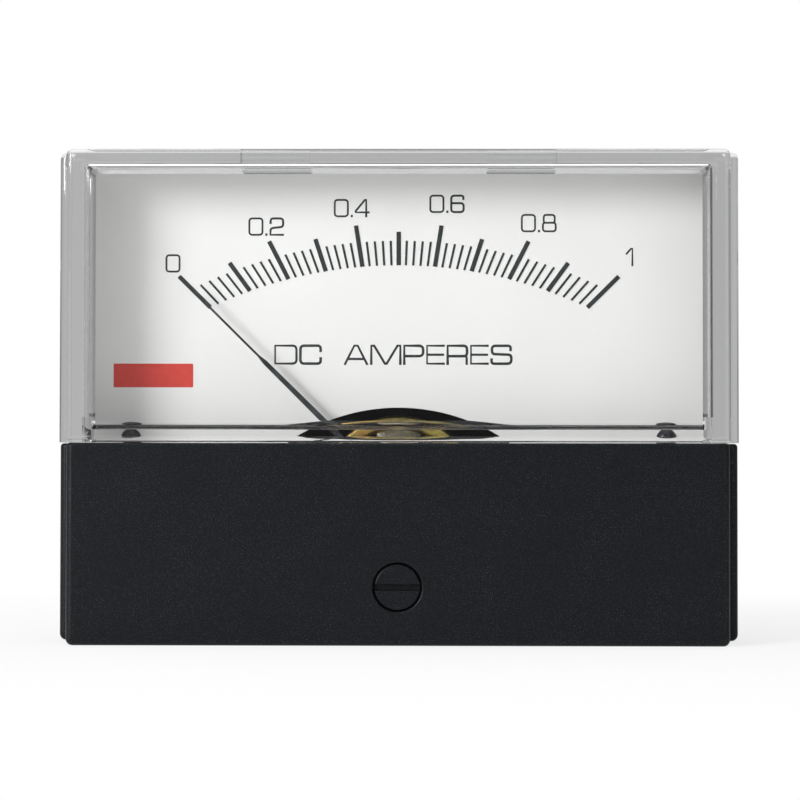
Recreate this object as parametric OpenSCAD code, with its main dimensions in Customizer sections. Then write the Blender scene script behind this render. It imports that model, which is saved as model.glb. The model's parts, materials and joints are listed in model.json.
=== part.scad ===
// Moving-coil panel meter: clear cover over the dial, black lower mask, round rear case.
// X runs to the right as seen from the front, Y runs into the panel and Z is up.
// The origin is the barrel's axis on the panel face. Sizes are in millimetres.

/* [Bezel] */
// Width over the side flanges
bezel_w = 83; // [81:0.5:88]
// Height of the raised block, cover and mask together
bezel_h = 59; // [57:0.5:64]
// How far the bezel stands out from the panel
bezel_depth = 14; // [13.5:0.5:17]
// Width of the raised block between the flanges
block_w = 79; // [77:0.5:80]
// How far the flange stands above the block's top
flange_rise = 0.6; // [0.2:0.1:0.9]
// Depth of the side flanges
flange_t = 5; // [3:0.5:7]
// Side wall of cover and mask
side_wall = 2; // [1.5:0.1:2.2]
// Top wall of the cover and bottom wall of the mask
rim_wall = 1.6; // [1.2:0.1:2]
// Thickness of the window and of the mask's front
front_t = 2; // [1.5:0.1:2.2]
// Rounding of the outer edges
edge_r = 0.8; // [0.4:0.1:1]
// Rounding inside the window's corners
inner_r = 0.7; // [0.4:0.1:0.9]
// Height of the mask
mask_h = 24.1; // [22:0.1:25]
// Gap between cover and mask
seam = 0.1; // [0.05:0.05:0.3]
// Rounding of the mask's upper edge
mask_r = 0.4; // [0.2:0.1:0.6]
// Rounding of the cover's lower front edge, above the mask
cover_r = 0.7; // [0.3:0.1:0.9]
// Rounding of its lower corners at the sides
foot_r = 0.15; // [0.1:0.05:0.4]
// How far the mask's sides stand back from the cover's
mask_inset = 0.15; // [0.05:0.05:0.3]
// Thickness of the lip under the window
lip_t = 1.5; // [1.2:0.1:2.4]
// Rounding between the window and that lip
lip_r = 1.1; // [0.5:0.1:1.4]
// Depth of that lip
lip_depth = 4; // [3:0.5:4.5]
// Width of the snap windows in the cover's top wall
snap_w = 8.4; // [6:0.2:10]
// Distance of each snap window's middle from the centre line
snap_x = 15; // [12:0.5:22]

/* [Barrel] */
// Outer diameter of the barrel
barrel_d = 52; // [50:0.5:53]
// Length of the barrel behind the panel
barrel_len = 28; // [27:0.5:34]
// Wall of the barrel
barrel_wall = 2; // [1.5:0.1:2.5]
// Thickness of the barrel's back
back_t = 2.5; // [2:0.1:3]
// How far the bezel's centre lies above the barrel's axis
bezel_rise = 2; // [1.5:0.1:2.5]
// Thickness of the housing's plate behind the dial
plate_t = 3.4; // [3.2:0.1:4]

/* [Mounting] */
// Spacing of the mounting studs across
stud_span_x = 64; // [60:0.5:66]
// Spacing of the mounting studs in height
stud_span_z = 40; // [38:0.5:42]
// Diameter of the mounting studs
stud_d = 3; // [2.5:0.5:3.5]
// Diameter of their necks inside the plate
stud_neck_d = 3.6; // [3.6:0.1:4.2]
// Length of the mounting studs behind the panel
stud_len = 12; // [8:1:20]

/* [Terminals] */
// Distance between the two terminals
terminal_span = 26; // [24:0.5:27]
// Height of the terminals above the barrel's axis
terminal_z = 6; // [5:0.5:8]
// Diameter of the terminal studs' free ends
terminal_d = 4; // [3:0.5:5]
// Diameter of their shanks in the case, the washers and the nuts
terminal_shank_d = 4.5; // [4.4:0.1:5.2]
// Width across flats of the terminal nuts
nut_af = 7; // [7:0.5:8]
// Thickness of a terminal nut
nut_t = 3.2; // [2.4:0.2:4]
// Thickness of a terminal washer
washer_t = 0.8; // [0.6:0.1:1.2]
// Free end of the terminal stud behind its outer nut
terminal_free = 6.5; // [5:0.5:10]

/* [Dial] */
// Thickness of the dial plate
dial_t = 0.6; // [0.4:0.1:0.8]
// Gap between the dial's edge and the cover's walls
dial_gap = 0.4; // [0.3:0.1:0.6]
// Radius of the arch cut in the dial's lower edge
arch_r = 23.5; // [22:0.1:25]
// Height of the arch above the pivot
arch_rise = 10.6; // [10.3:0.1:11]
// Distance of each dial screw from the centre line
dial_screw_x = 32.6; // [31:0.1:34]
// Head diameter of the dial screws
dial_screw_d = 2.5; // [2:0.1:3]
// Height of their domed heads
dial_screw_t = 0.9; // [0.7:0.1:1.1]

/* [Scale] */
// Angle of the whole scale
scale_span = 90.5; // [80:0.5:94]
// Number of divisions on the scale
divisions = 50; // [20:10:60]
// Height of the scale's middle above the pivot
scale_rise = 28; // [26.5:0.1:28.4]
// Radius of the line that the marks stand on
scale_r = 54; // [50:0.2:60]
// Length of a short mark
minor_len = 3; // [2:0.1:3.4]
// Length of a middle mark
mid_len = 4.1; // [3:0.1:4.6]
// Length of a long mark
major_len = 5.1; // [4:0.1:5.5]
// Width of a short mark
minor_w = 0.27; // [0.2:0.01:0.4]
// Width of a middle or long mark
major_w = 0.54; // [0.4:0.01:0.7]

/* [Movement] */
// How far the pivot lies below the barrel's axis
pivot_drop = 9.7; // [9.2:0.05:10]
// Outer diameter of the yoke ring
yoke_d = 19.4; // [18.8:0.1:19.8]
// Wall of the yoke ring
yoke_wall = 1.8; // [1.6:0.1:2]
// Length of the yoke ring
yoke_len = 10; // [9:0.5:12]
// Diameter of the core magnet
core_d = 10.4; // [9.6:0.1:10.8]
// Width of the coil along its turn
coil_w = 2.2; // [1.6:0.1:2.6]
// Build of the copper winding
winding_t = 1.1; // [0.8:0.1:1.2]
// Thickness of the coil former
former_t = 0.25; // [0.2:0.05:0.3]
// Distance of the movement's screws from the centre line
ear_x = 17; // [16:0.5:18]

/* [Pointer] */
// Length of the pointer from its pivot
pointer_len = 35.8; // [33:0.2:36.4]
// Where the pointer steps down to its fine tip
pointer_step = 22.8; // [18:0.2:26]
// Width of the pointer at its root
pointer_root_w = 0.84; // [0.6:0.02:1]
// Width of the pointer just before the step
pointer_step_w = 0.56; // [0.4:0.02:0.6]
// Width of the fine tip
pointer_tip_w = 0.27; // [0.2:0.01:0.35]
// Thickness of the pointer
pointer_t = 0.35; // [0.2:0.05:0.5]
// Gap between pointer and dial
pointer_gap = 2.35; // [1.8:0.05:2.6]
// Travel past each end of the scale, in degrees
over_travel = 2; // [1:0.5:3]

/* [Zero adjuster] */
// Diameter of the zero screw
zero_d = 5.4; // [5:0.1:6.4]
// Distance of the zero screw below the pivot
zero_drop = 10.85; // [10.6:0.05:11.4]
// Offset of the eccentric pin
eccentric = 0.8; // [0.5:0.1:1]
// Diameter of the eccentric pin
eccentric_d = 1; // [0.8:0.1:1.2]
// Clearance of the fork on each side of the pin
fork_gap = 0.15; // [0.12:0.01:0.25]

/* [Hidden] */
$fn = 64;

// Bezel
fit = 0.2;
slip = 0.05;
front_y = -bezel_depth;
inner_y = front_y + front_t;
bottom_z = bezel_rise - bezel_h / 2;
top_z = bezel_rise + bezel_h / 2;
split_z = bottom_z + mask_h;
mask_top = split_z - seam;
block_x = block_w / 2;
inner_x = block_x - side_wall;
inner_top = top_z - rim_wall;
inner_bottom = bottom_z + rim_wall;
mask_block_x = block_x - mask_inset;
mask_flange_x = bezel_w / 2 - mask_inset;
rib_t = 1.2;
rib_deep = 0.9;
tab_cover = 0.1;
tongue_t = 1;
tongue_rise = 3;
tongue_drop = 5;
tongue_y = inner_y + slip;
tongue_back = front_y + lip_depth;
catch_deep = 0.3;
catch_h = 0.8;

// Dial and plate
plate_y = -plate_t;
dial_back = plate_y;
dial_y = dial_back - dial_t;
dial_x = inner_x - dial_gap;
dial_top = inner_top - dial_gap;
plate_margin = 1.1;
mark_t = 0.05;

// Pivot line and the layers of the movement along it
pivot_z = -pivot_drop;
dial_foot = pivot_z - 3;
arch_z = pivot_z + arch_rise - arch_r;
dial_screw_z = split_z + 0.5;
yoke_y = dial_back + 1.4;
yoke_back = yoke_y + yoke_len;
core_margin = 0.5;
spacer_y = yoke_y + 0.15;
coil_gap = 0.4;
core_y = yoke_y + core_margin;
core_back = yoke_back - 1.5;
former_in = core_d / 2 + coil_gap;
former_out = former_in + former_t;
winding_out = former_out + winding_t;
coil_y = core_y - coil_gap - former_t;
coil_back = core_back + coil_gap + former_t;
winding_y = coil_y - winding_t;
winding_back = coil_back + winding_t;
movement_t = 1.5;
movement_back = yoke_back + movement_t;

// Pointer layer
pointer_y = dial_y - pointer_gap - pointer_t;
rest_angle = -scale_span / 2;
staff_r = 0.45;
hub_r = 1.5;
collet_r = 0.9;
collet_t = 0.5;
spring_w = 0.5;
spring_t = 0.12;
spring_in = collet_r + slip;
spring_out = 3.2;
spring_turns = 4;
spring_y = pointer_y - collet_t - slip;
arm_w = 0.5;
tail_at = 5;
tail_r = 0.9;
side_at = 4.6;
side_r = 0.55;
side_len = 1.2;
brass_to_aluminium = 8500 / 2700;
blade_moment = pointer_t * (pointer_root_w * pow(pointer_step, 2) / 2
    + (pointer_step_w - pointer_root_w) * pow(pointer_step, 2) / 3
    + pointer_tip_w * (pow(pointer_len, 2) - pow(pointer_step, 2)) / 2);
tail_arm_len = 6.3;
tail_moment = pointer_t * arm_w * pow(tail_arm_len, 2) / 2;
arm_hole_moment = pointer_t * arm_w * tail_at;
tail_len = (blade_moment - tail_moment)
    / (tail_at * (brass_to_aluminium * PI * pow(tail_r, 2)) - arm_hole_moment * brass_to_aluminium);

// Bridges and bearings
bridge_t = 0.8;
bridge_back = spring_y - spring_w - 0.9;
bridge_y = bridge_back - bridge_t;
bridge_hub = 2.4;
leg_angle = 125;
leg_at = yoke_d / 2 - yoke_wall / 2;
leg_w = 1.8;
jewel_screw_r = 1;
jewel_r = 0.55;
jewel_t = 0.5;
lever_t = 0.4;
lever_back = bridge_y - slip;
lever_y = lever_back - lever_t;
lock_t = 0.7;
lock_af = 3.4;
lock_back = lever_y - slip;
lock_y = lock_back - lock_t;
cup_r = 0.25;
cup_deep = 0.35;
point_gap = 0.05;
jewel_out = 0.2;
screw_out = 0.3;
front_jewel_y = bridge_back + jewel_out;
pivot_tip = front_jewel_y - cup_deep + point_gap;
rear_gap = 2.4;
rear_bridge_y = movement_back + rear_gap;
rear_bridge_back = rear_bridge_y + bridge_t;
rear_leg_x = yoke_d / 2 - yoke_wall / 2;
rear_spring_y = rear_bridge_y - 1 - spring_w;
rear_jewel_y = rear_bridge_y - jewel_out;
rear_tip = rear_jewel_y + cup_deep - point_gap;

// Pointer stops
stop_at = 7.6;
stop_pin_r = 0.35;
half_blade = (pointer_root_w + (pointer_step_w - pointer_root_w) * stop_at / pointer_step) / 2;
stop_angle = scale_span / 2 + over_travel + 1 + asin((half_blade + stop_pin_r) / stop_at);

// Zero adjuster
zero_z = pivot_z - zero_drop;
zero_gap = 0.2;
zero_flange_t = 0.6;
zero_flange_y = inner_y + slip;
zero_flange_d = zero_d + 1.2;
retainer_t = 0.5;
retainer_y = zero_flange_y + zero_flange_t + slip;
collar_wall = 1.2;
collar_d = zero_flange_d + 2 * zero_gap;
zero_slot_w = 0.8;
zero_slot_deep = 0.9;
pin_z = zero_z + eccentric;
pin_end = lever_back + 0.5;

// Case details
floor_y = barrel_len - back_t;
bore_r = barrel_d / 2 - barrel_wall;
post_d = 6;
boss_t = 1.5;
terminal_x = terminal_span / 2;
boss_back = barrel_len + boss_t;
boss_d = nut_af + 4;
plus_h = 3;
plus_w = 0.7;
plus_out = 0.4;
washer_over = 2;
terminal_head_af = 7;
tag_t = 0.6;
tag_d = 7.6;
ear_in = 7.5;
ear_end = terminal_x - ear_in;
ear_h = 3;
shunt_t = 0.5;
shunt_h = 2.4;
shunt_lap = 2.5;
bobbin_d = 6.4;
bobbin_wire_d = 4.6;
bobbin_len = 7;
cheek_t = 0.8;
bobbin_rise = 8;
bobbin_z = terminal_z + bobbin_rise;
foot_drop = 2;
foot_z = terminal_z - tag_d / 2 - foot_drop;
strip_w = 1.6;
strip_t = 0.4;
strip_z = pivot_z + 1.1;
head_t = 1.6;
screw_r = 0.8;
screw_grip = 7;
screw_head_d = 3.2;
screw_head_t = 1.2;
ear_r = 3;
rear_leg_d = 2.4;
rear_bridge_h = 4;
slot_w = 0.35;
slot_deep = 0.4;
small_r = 0.35;
small_grip = 2.2;
small_head_t = 0.5;
dial_shank_d = 1.4;
dial_screw_grip = 2.4;
lug_h = 0.6;
yoke_edge = 0.5;
mask_screw_x = 22;
mask_screw_r = 1.1;
mask_screw_grip = 3;
mask_boss_d = 5;
mask_screw_z = bottom_z + 5;
mask_head_r = 2;
mask_head_t = 1.4;
stud_head_d = stud_d + 2.5;
stud_head_t = 1.6;
stud_head_y = plate_y + 0.7;

// Distance from the pivot, along a ray at angle a, to the arc of radius r about the scale's centre
scale_k = scale_r - scale_rise;
function reach(a, r) = -scale_k * cos(a) + sqrt(r * r - pow(scale_k * sin(a), 2));
function mark_len(i) = i % 10 == 0 ? major_len : i % 5 == 0 ? mid_len : minor_len;
function mark_w(i) = i % 5 == 0 ? major_w : minor_w;

// ---- Building blocks: flat shapes are drawn in X and Z and extruded along Y ----

// Extrudes a flat shape from depth y0 to depth y1
module span(y0, y1) {
    translate([0, y1, 0]) rotate([90, 0, 0]) linear_extrude(y1 - y0) children();
}

// Round bar along Y at x, z
module bar(d, y0, y1, x = 0, z = 0) {
    translate([x, y1, z]) rotate([90, 0, 0]) cylinder(d = d, h = y1 - y0);
}

// Flat rectangle from corner to corner
module rect(x0, z0, x1, z1) {
    translate([x0, z0]) square([x1 - x0, z1 - z0]);
}

// Flat rectangle with rounded corners
module round_rect(x0, z0, x1, z1, r) {
    soft_rect(x0, z0, x1, z1, r, r);
}

// Flat rectangle with one radius for its lower corners and another for its upper ones
module soft_rect(x0, z0, x1, z1, r0, r1) {
    middle = (z0 + z1) / 2;
    rect(x0, z0 + r0, x1, z1 - r1);
    rect(x0 + r0, z0, x1 - r0, middle);
    rect(x0 + r1, middle, x1 - r1, z1);
    for (x = [x0 + r0, x1 - r0]) translate([x, z0 + r0]) circle(r0);
    for (x = [x0 + r1, x1 - r1]) translate([x, z1 - r1]) circle(r1);
}

// Both sides of the centre line
module both_sides() {
    children();
    mirror([1, 0, 0]) children();
}

// Turns its children about the pivot: positive angles lean to the right
module about_pivot(a) {
    translate([0, 0, pivot_z]) rotate([0, a, 0]) children();
}

// Block with its front and side edges rounded, its back left sharp: three profiles crossed.
// r0 rounds the lower front edge, foot the lower corners, r1 the upper edges and r the upright ones.
module soft_block(x, z0, z1, y0, y1, r0, r1, r, foot) intersection() {
    past = y1 + 2 * r;
    span(y0, y1) soft_rect(-x, z0, x, z1, foot, r1);
    translate([-x, 0, 0]) rotate([90, 0, 90]) linear_extrude(2 * x) soft_rect(y0, z0, past, z1, r0, r1);
    translate([0, 0, z0]) linear_extrude(z1 - z0) round_rect(-x, y0, x, past, r);
}

// Raised block with its flange, solid; the flange stands above the block by rise
module bezel_solid(block, flange, z0, z1, rise, r0, r1, foot) {
    soft_block(block, z0, z1, front_y, 0, r0, r1, edge_r, foot);
    soft_block(flange, z0, z1 + rise, -flange_t, 0, foot, r1, edge_r, foot);
}

// Domed head towards the front on a flat seat at y
module dome(d, h, y, x, z) {
    ball = (h * h + d * d / 4) / (2 * h);
    intersection() {
        bar(d, y - h, y, x, z);
        translate([x, y - h + ball, z]) sphere(ball);
    }
}

// Chamfered hexagon nut along Y
module nut(af, t, bore, y0, x = 0, z = 0) {
    across = af / cos(30);
    translate([x, y0 + t, z]) rotate([90, 0, 0]) difference() {
        intersection() {
            cylinder(d = across, h = t, $fn = 6);
            cylinder(r1 = af / 2, r2 = af / 2 + 2 * t, h = 2 * t);
            translate([0, 0, -t]) cylinder(r1 = af / 2 + 2 * t, r2 = af / 2, h = 2 * t);
        }
        translate([0, 0, -1]) cylinder(d = bore, h = t + 2);
    }
}

// Slotted cheese-head screw with its head towards the front
module front_screw(head_d, head_t, shank_d, head_back, end_y, x, z) {
    difference() {
        union() {
            bar(head_d, head_back - head_t, head_back, x, z);
            bar(shank_d, head_back - slip, end_y, x, z);
        }
        translate([x - head_d, head_back - head_t - 1, z - slot_w / 2])
            cube([2 * head_d, 1 + head_t / 2, slot_w]);
    }
}

// Flat spiral strip about the pivot line
module hairspring(y0, start) {
    steps = spring_turns * 24;
    function turn(k) = start + 360 * spring_turns * k / steps;
    function radius(k) = spring_in + (spring_out - spring_in) * k / steps;
    inside = [for (k = [0:steps]) radius(k) * [sin(turn(k)), cos(turn(k))]];
    outside = [for (k = [steps:-1:0]) (radius(k) + spring_t) * [sin(turn(k)), cos(turn(k))]];
    translate([0, 0, pivot_z]) span(y0, y0 + spring_w) polygon(concat(inside, outside));
}

// ---- Bezel ----

// Clear cover: window, side walls, top wall, side flanges and the short lip under the window
module front_cover() color([0.9, 0.93, 0.95, 0.35]) {
    difference() {
        bezel_solid(block_x, bezel_w / 2, split_z, top_z, flange_rise, cover_r, edge_r, foot_r);
        soft_block(inner_x, split_z + lip_t, inner_top, inner_y, 1, lip_r, inner_r, inner_r, inner_r);
        translate([-inner_x, tongue_back, split_z - 1]) cube([2 * inner_x, bezel_depth, lip_t + 3]);
        for (s = [-1, 1]) translate([s * snap_x - snap_w / 2, dial_y, inner_top - inner_r])
            cube([snap_w, -rib_t - dial_y, 2 * rim_wall + inner_r]);
    }
    for (s = [-1, 1]) translate([s * snap_x - snap_w / 2, -rib_t, inner_top - rib_deep])
        cube([snap_w, rib_t, rib_deep + slip]);
    both_sides() latch_tongue();
}

// Latch tongue behind the mask's front, with a catch on its outer side
module latch_tongue() {
    translate([inner_x - tongue_t - slip, inner_y - slip, split_z + lip_t / 2])
        cube([tongue_t + 2 * slip, tongue_back - inner_y, tongue_rise - lip_t / 2]);
    translate([inner_x - tongue_t - slip, tongue_y, split_z - tongue_drop])
        cube([tongue_t, tongue_back - tongue_y, tongue_drop + lip_t]);
    translate([inner_x - tongue_t, tongue_y, split_z - tongue_drop + catch_h])
        cube([tongue_t + catch_deep - 2 * slip, tongue_back - tongue_y, catch_h]);
}

// Black lower mask with the zero screw's hole and collar, two screw bosses and the latch pockets
module front_mask() color([0.10, 0.11, 0.12]) difference() {
    union() {
        difference() {
            bezel_solid(mask_block_x, mask_flange_x, bottom_z, mask_top, 0, edge_r, mask_r, edge_r);
            translate([-inner_x, inner_y, inner_bottom]) cube([2 * inner_x, bezel_depth, mask_h]);
        }
        for (s = [-1, 1]) bar(mask_boss_d, inner_y - slip, plate_y, s * mask_screw_x, mask_screw_z);
        bar(collar_d + 2 * collar_wall, inner_y - slip, retainer_y + retainer_t, 0, zero_z);
    }
    bar(zero_d + 2 * zero_gap, front_y - 1, inner_y + 1, 0, zero_z);
    bar(collar_d, inner_y, retainer_y + retainer_t + 1, 0, zero_z);
    for (s = [-1, 1]) bar(2 * mask_screw_r, inner_y + mask_screw_grip, 1, s * mask_screw_x, mask_screw_z);
    both_sides() translate([inner_x - 1, inner_y - slip, split_z - tongue_drop + catch_h / 2])
        cube([1 + catch_deep, lip_depth, 2 * catch_h]);
}

// Self-tapping screws that hold the mask from behind
module mask_screws() color([0.6, 0.6, 0.62]) for (s = [-1, 1]) difference() {
    union() {
        bar(2 * mask_screw_r, inner_y + mask_screw_grip, -mask_head_t, s * mask_screw_x, mask_screw_z);
        bar(2 * mask_head_r, -mask_head_t - slip, -slip, s * mask_screw_x, mask_screw_z);
    }
    translate([s * mask_screw_x - slot_w, -mask_head_t / 2, mask_screw_z - mask_head_r])
        cube([2 * slot_w, 2, 2 * mask_head_r]);
}

// ---- Zero adjuster ----

// Slotted screw in the mask, with its rear flange and eccentric pin
module zero_screw() color([0.10, 0.11, 0.12]) {
    difference() {
        bar(zero_d, front_y, zero_flange_y, 0, zero_z);
        translate([-zero_d, front_y - 1, zero_z - zero_slot_w / 2])
            cube([2 * zero_d, 1 + zero_slot_deep, zero_slot_w]);
    }
    bar(zero_flange_d, zero_flange_y, zero_flange_y + zero_flange_t, 0, zero_z);
    bar(eccentric_d, zero_flange_y + zero_flange_t - slip, pin_end, 0, pin_z);
}

// Steel ring pressed into the mask's collar behind the zero screw's flange
module zero_retainer() color([0.7, 0.7, 0.72]) difference() {
    bar(collar_d, retainer_y, retainer_y + retainer_t, 0, zero_z);
    bar(collar_d / 2 + eccentric, zero_flange_y, pin_end, 0, zero_z);
}

// Lever on the front bearing: its fork rides on the eccentric pin, its tab holds the front hairspring
module zero_lever() color([0.78, 0.65, 0.35]) {
    fork_w = eccentric_d + 2 * fork_gap;
    span(lever_y, lever_back) difference() {
        union() {
            translate([0, pivot_z]) circle(bridge_hub - 0.3);
            rect(-0.8, pin_z + 1.2, 0.8, pivot_z);
            round_rect(-fork_w / 2 - 1, pin_z - 1.6, fork_w / 2 + 1, pin_z + 1.8, 0.6);
            rect(-0.6, pivot_z, 0.6, pivot_z + spring_out + spring_t + 0.4);
        }
        translate([0, pivot_z]) circle(jewel_screw_r + slip);
        rect(-fork_w / 2, pin_z - 3, fork_w / 2, pin_z + 1);
    }
    span(lever_y, spring_y) rect(-0.6, pivot_z + spring_out + spring_t, 0.6, pivot_z + spring_out + spring_t + 0.4);
}

// ---- Case ----

module plate_shape() {
    round_rect(-inner_x + fit, inner_bottom + fit, inner_x - fit, split_z - 1, 0.8);
    round_rect(-dial_x + plate_margin, inner_bottom + 2, dial_x - plate_margin, dial_top - plate_margin, 0.8);
    // Lugs that locate the cover's sides
    rect(-inner_x + fit, split_z + tongue_rise + fit, inner_x - fit, split_z + tongue_rise + lug_h);
}

// Tabs that the cover's ribs snap behind
module snap_tabs() span(plate_y, -rib_t - slip) for (s = [-1, 1])
    rect(s * snap_x - snap_w / 2 + fit, dial_top - plate_margin - 1, s * snap_x + snap_w / 2 - fit, dial_top - tab_cover);

// Black housing: the plate behind the dial and the round barrel behind the panel
module housing() color([0.09, 0.09, 0.10]) difference() {
    union() {
        difference() {
            union() {
                span(plate_y, 0) plate_shape();
                snap_tabs();
                bar(barrel_d, -slip, barrel_len);
            }
            bar(2 * bore_r, plate_y - 1, floor_y);
        }
        for (s = [-1, 1]) {
            bar(post_d, movement_back, floor_y + slip, s * ear_x, pivot_z);
            bar(boss_d, barrel_len - slip, boss_back, s * terminal_x, terminal_z);
        }
        polarity_mark();
    }
    for (s = [-1, 1]) {
        bar(terminal_shank_d, floor_y - 1, boss_back + 1, s * terminal_x, terminal_z);
        bar(2 * screw_r, movement_back - 1, movement_back + screw_grip, s * ear_x, pivot_z);
        bar(dial_shank_d, plate_y - 1, plate_y + dial_screw_grip, s * dial_screw_x, dial_screw_z);
        bar(2 * mask_screw_r, plate_y - 1, 0, s * mask_screw_x, mask_screw_z);
        bar(2 * mask_head_r, -mask_head_t - slip, 1, s * mask_screw_x, mask_screw_z);
    }
    mounting_studs();
}

// Plus sign moulded beside one terminal
module polarity_mark() {
    translate([terminal_x, 0, terminal_z - boss_d / 2 - plus_h]) span(barrel_len - slip, barrel_len + plus_out) {
        rect(-plus_h / 2, -plus_w / 2, plus_h / 2, plus_w / 2);
        rect(-plus_w / 2, -plus_h / 2, plus_w / 2, plus_h / 2);
    }
}

// Four headed studs moulded into the plate
module mounting_studs() color([0.72, 0.72, 0.74])
    for (x = [-1, 1] * stud_span_x / 2, z = [-1, 1] * stud_span_z / 2) {
        bar(stud_d, -slip, stud_len, x, z);
        bar(stud_neck_d, stud_head_y + stud_head_t - slip, 0, x, z);
        bar(stud_head_d, stud_head_y, stud_head_y + stud_head_t, x, z);
    }

// ---- Dial ----

module dial_plate() color([0.95, 0.95, 0.94]) span(dial_y, dial_back) difference() {
    round_rect(-dial_x, dial_foot, dial_x, dial_top, 0.5);
    translate([0, arch_z]) circle(arch_r);
    for (s = [-1, 1]) translate([s * dial_screw_x, dial_screw_z]) circle(dial_shank_d / 2 + slip);
}

// Printed scale marks, all aimed at the pivot
module scale_marks() color([0.13, 0.14, 0.16]) translate([0, 0, pivot_z]) span(dial_y - mark_t, dial_y)
    for (i = [0:divisions]) {
        a = (i / divisions - 0.5) * scale_span;
        start = reach(a, scale_r);
        rotate(-a) rect(-mark_w(i) / 2, start, mark_w(i) / 2, reach(a, scale_r + mark_len(i)));
    }

module dial_screw(s) color([0.16, 0.16, 0.18]) {
    dome(dial_screw_d, dial_screw_t, dial_y, s * dial_screw_x, dial_screw_z);
    bar(dial_shank_d, dial_y - slip, plate_y + dial_screw_grip, s * dial_screw_x, dial_screw_z);
}

// ---- Magnet system ----

// Soft-iron ring, its front edges rounded
module yoke_ring() color([0.62, 0.55, 0.30]) translate([0, yoke_back, pivot_z]) rotate([90, 0, 0])
    rotate_extrude() soft_rect(yoke_d / 2 - yoke_wall, 0, yoke_d / 2, yoke_len, 0.2, yoke_edge);

module core_magnet() color([0.45, 0.45, 0.47]) bar(core_d, core_y, core_back, 0, pivot_z);

// Die-cast block that holds the core in the ring, above or below it
module core_spacer(a) color([0.55, 0.52, 0.40]) about_pivot(a) intersection() {
    difference() {
        bar(yoke_d - 2 * yoke_wall, spacer_y, core_back - core_margin);
        bar(core_d, spacer_y - 1, core_back);
    }
    span(spacer_y, core_back) polygon([[0, 0], [-tan(20) * yoke_d, yoke_d], [tan(20) * yoke_d, yoke_d]]);
}

// Plate that carries the ring and bolts to the housing's posts
module movement_plate() color([0.70, 0.66, 0.50]) span(yoke_back, movement_back) difference() {
    union() {
        translate([0, pivot_z]) circle(d = yoke_d);
        round_rect(-ear_x - ear_r, pivot_z - ear_r - 0.5, ear_x + ear_r, pivot_z + ear_r + 0.5, 2);
    }
    translate([0, pivot_z]) circle(winding_out + 0.5);
    for (s = [-1, 1]) translate([s * ear_x, pivot_z]) circle(screw_r);
}

module movement_screw(s) color([0.75, 0.75, 0.77])
    front_screw(screw_head_d, screw_head_t, 2 * screw_r, yoke_back, movement_back + screw_grip, s * ear_x, pivot_z);

// ---- Bridges and bearings ----

// Front bridge on two legs, with an arm for each pointer stop
module front_bridge() color([0.80, 0.68, 0.38]) {
    span(bridge_y, bridge_back) difference() {
        union() {
            translate([0, pivot_z]) circle(bridge_hub);
            for (a = [-leg_angle, leg_angle]) translate([0, pivot_z]) rotate(-a)
                rect(-leg_w / 2, 0, leg_w / 2, leg_at + leg_w / 2);
            for (a = [-stop_angle, stop_angle]) translate([0, pivot_z]) rotate(-a)
                rect(-0.6, 0, 0.6, stop_at + 0.6);
        }
        translate([0, pivot_z]) circle(jewel_screw_r);
        for (a = [-leg_angle, leg_angle]) translate([0, pivot_z]) rotate(-a) translate([0, leg_at]) circle(small_r);
    }
    for (a = [-leg_angle, leg_angle]) about_pivot(a) difference() {
        span(bridge_back - slip, yoke_y) rect(-leg_w / 2, leg_at - leg_w / 2, leg_w / 2, leg_at + leg_w / 2);
        bar(2 * small_r, bridge_y, bridge_back + small_grip, 0, leg_at);
    }
}

// Small screws down the front bridge's two legs
module front_bridge_screws() color([0.75, 0.75, 0.77]) for (a = [-leg_angle, leg_angle]) about_pivot(a)
    front_screw(leg_w - 0.2, small_head_t, 2 * small_r, bridge_y, bridge_back + small_grip, 0, leg_at);

module pointer_stops() color([0.2, 0.2, 0.2]) for (a = [-stop_angle, stop_angle]) about_pivot(a)
    bar(2 * stop_pin_r, bridge_back, pointer_y + pointer_t + 0.6, 0, stop_at);

// Hollow bearing screw: its jewel sits in the inner end, y_in, and its slot in the outer end, y_out
module bearing_screw(y_in, y_out, jewel_y) {
    front = y_out < y_in;
    seat_y = front ? jewel_y - jewel_t : jewel_y + jewel_t;
    slot_y = front ? y_out - 1 : y_out - slot_deep;
    difference() {
        bar(2 * jewel_screw_r, min(y_in, y_out), max(y_in, y_out), 0, pivot_z);
        bar(2 * jewel_r, min(seat_y, jewel_y + (front ? 1 : -1)), max(seat_y, jewel_y + (front ? 1 : -1)), 0, pivot_z);
        translate([-2, slot_y, pivot_z - slot_w / 2]) cube([4, 1 + slot_deep, slot_w]);
    }
}

// Jewel with a blind cup at its inner face, y, for the pivot's point
module jewel(y, out) difference() {
    bar(2 * jewel_r, min(y, y + out * jewel_t), max(y, y + out * jewel_t), 0, pivot_z);
    bar(2 * cup_r, y - cup_deep, y + cup_deep, 0, pivot_z);
}

module jewel_screw_front() color([0.85, 0.72, 0.40])
    bearing_screw(bridge_back + screw_out, lock_y - screw_out, front_jewel_y);

module jewel_front() color([0.75, 0.15, 0.25]) jewel(front_jewel_y, -1);

module lock_nut_front() color([0.8, 0.68, 0.38]) nut(lock_af, lock_t, 2 * jewel_screw_r, lock_y, 0, pivot_z);

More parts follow.
